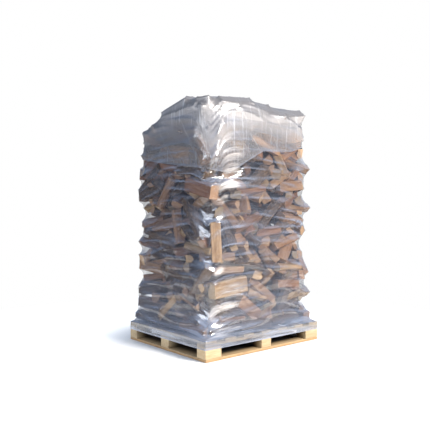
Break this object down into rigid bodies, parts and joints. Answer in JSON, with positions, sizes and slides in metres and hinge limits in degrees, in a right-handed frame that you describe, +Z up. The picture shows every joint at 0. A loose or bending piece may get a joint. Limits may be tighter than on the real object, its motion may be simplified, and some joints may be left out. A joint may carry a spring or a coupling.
{
  "type": "film-wrapped firewood pallet",
  "caption": "Pallet of loose split firewood logs under a clear top sheet and stretch film, with fork openings in the block pallet.",
  "frame": {"origin": "on the floor under the pallet's centre", "axes": "+Z up, X along the pallet's 1.2 m side, Y along its 1.0 m side; the picture looks from -X and -Y"},
  "size_m": [1.2249, 1.0311, 1.9819],
  "materials": {
    "pallet_wood": "sawn softwood, dry and matt",
    "pale_wood": "freshly split, matt",
    "tan_wood": "split, matt",
    "russet_wood": "split, reddish, matt",
    "bark_wood": "bark side, rough and matt",
    "dark_wood": "dark bark, rough and matt",
    "firewood": "loose split logs, matt",
    "stretch_film": "clear stretched film, glossy with fine streaks",
    "sheet_film": "clear film sheet, glossy and slightly milky"
  },
  "bodies": {
    "root": {"base_board_back": "pallet_wood", "base_board_front": "pallet_wood", "base_board_left": "pallet_wood", "base_board_middle": "pallet_wood", "base_board_right": "pallet_wood", "block_back_left": "pallet_wood", "block_back_middle": "pallet_wood", "block_back_right": "pallet_wood", "block_front_left": "pallet_wood", "block_front_middle": "pallet_wood", "block_front_right": "pallet_wood", "block_middle_left": "pallet_wood", "block_middle_middle": "pallet_wood", "block_middle_right": "pallet_wood", "stringer_back": "pallet_wood", "stringer_front": "pallet_wood", "stringer_middle": "pallet_wood", "deck_board_1": "pallet_wood", "deck_board_2": "pallet_wood", "deck_board_3": "pallet_wood", "deck_board_4": "pallet_wood", "deck_board_5": "pallet_wood", "deck_board_6": "pallet_wood", "deck_board_7": "pallet_wood", "log_01": "pale_wood", "log_02": "pale_wood", "log_03": "russet_wood", "log_04": "tan_wood", "log_05": "tan_wood", "log_06": "tan_wood", "log_07": "tan_wood", "log_08": "pale_wood", "log_09": "bark_wood", "log_10": "tan_wood", "log_11": "tan_wood", "log_12": "russet_wood", "log_13": "russet_wood", "log_14": "russet_wood", "log_15": "pale_wood", "log_16": "tan_wood", "log_17": "pale_wood", "log_18": "tan_wood", "log_19": "pale_wood", "log_20": "russet_wood", "log_21": "tan_wood", "log_22": "tan_wood", "log_23": "bark_wood", "log_24": "dark_wood", "log_25": "russet_wood", "log_26": "bark_wood", "log_27": "dark_wood", "log_28": "tan_wood", "log_29": "dark_wood", "log_30": "dark_wood", "log_31": "tan_wood", "log_32": "dark_wood", "log_33": "bark_wood", "log_pile": "firewood", "stretch_wrap": "stretch_film", "top_sheet": "sheet_film"}
  },
  "joints": []
}
